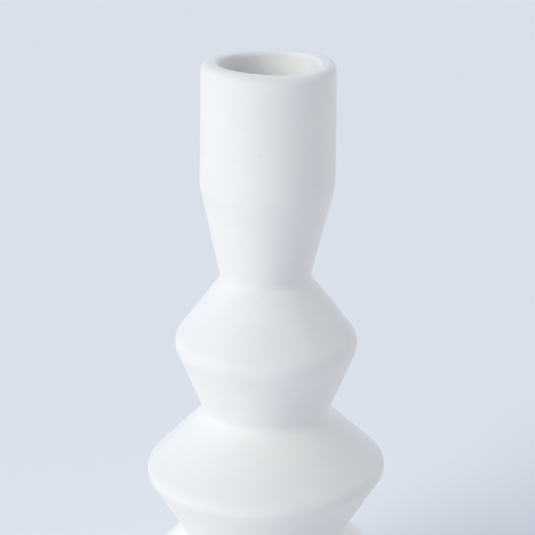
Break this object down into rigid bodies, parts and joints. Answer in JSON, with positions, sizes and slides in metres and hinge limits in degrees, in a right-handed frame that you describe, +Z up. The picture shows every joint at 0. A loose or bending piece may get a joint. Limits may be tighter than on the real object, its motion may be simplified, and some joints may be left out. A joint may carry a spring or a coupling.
{
  "type": "bud vase",
  "caption": "Tall ceramic bud vase: a straight mouth tube over a tapered neck and stacked double-cone tiers that widen towards the base, hollow to hold a stem and water.",
  "frame": {"origin": "centre of the base, on the surface that the vase stands on", "axes": "+Z up along the vase's axis of revolution, out of the mouth; X and Y are level"},
  "size_m": [0.0814, 0.0814, 0.1763],
  "materials": {
    "bisque": "matte, smooth, unglazed",
    "glaze": "satin",
    "felt": "felt"
  },
  "bodies": {
    "root": {"vase_body": "bisque", "interior_glaze": "glaze", "base_pads": "felt"}
  },
  "joints": []
}
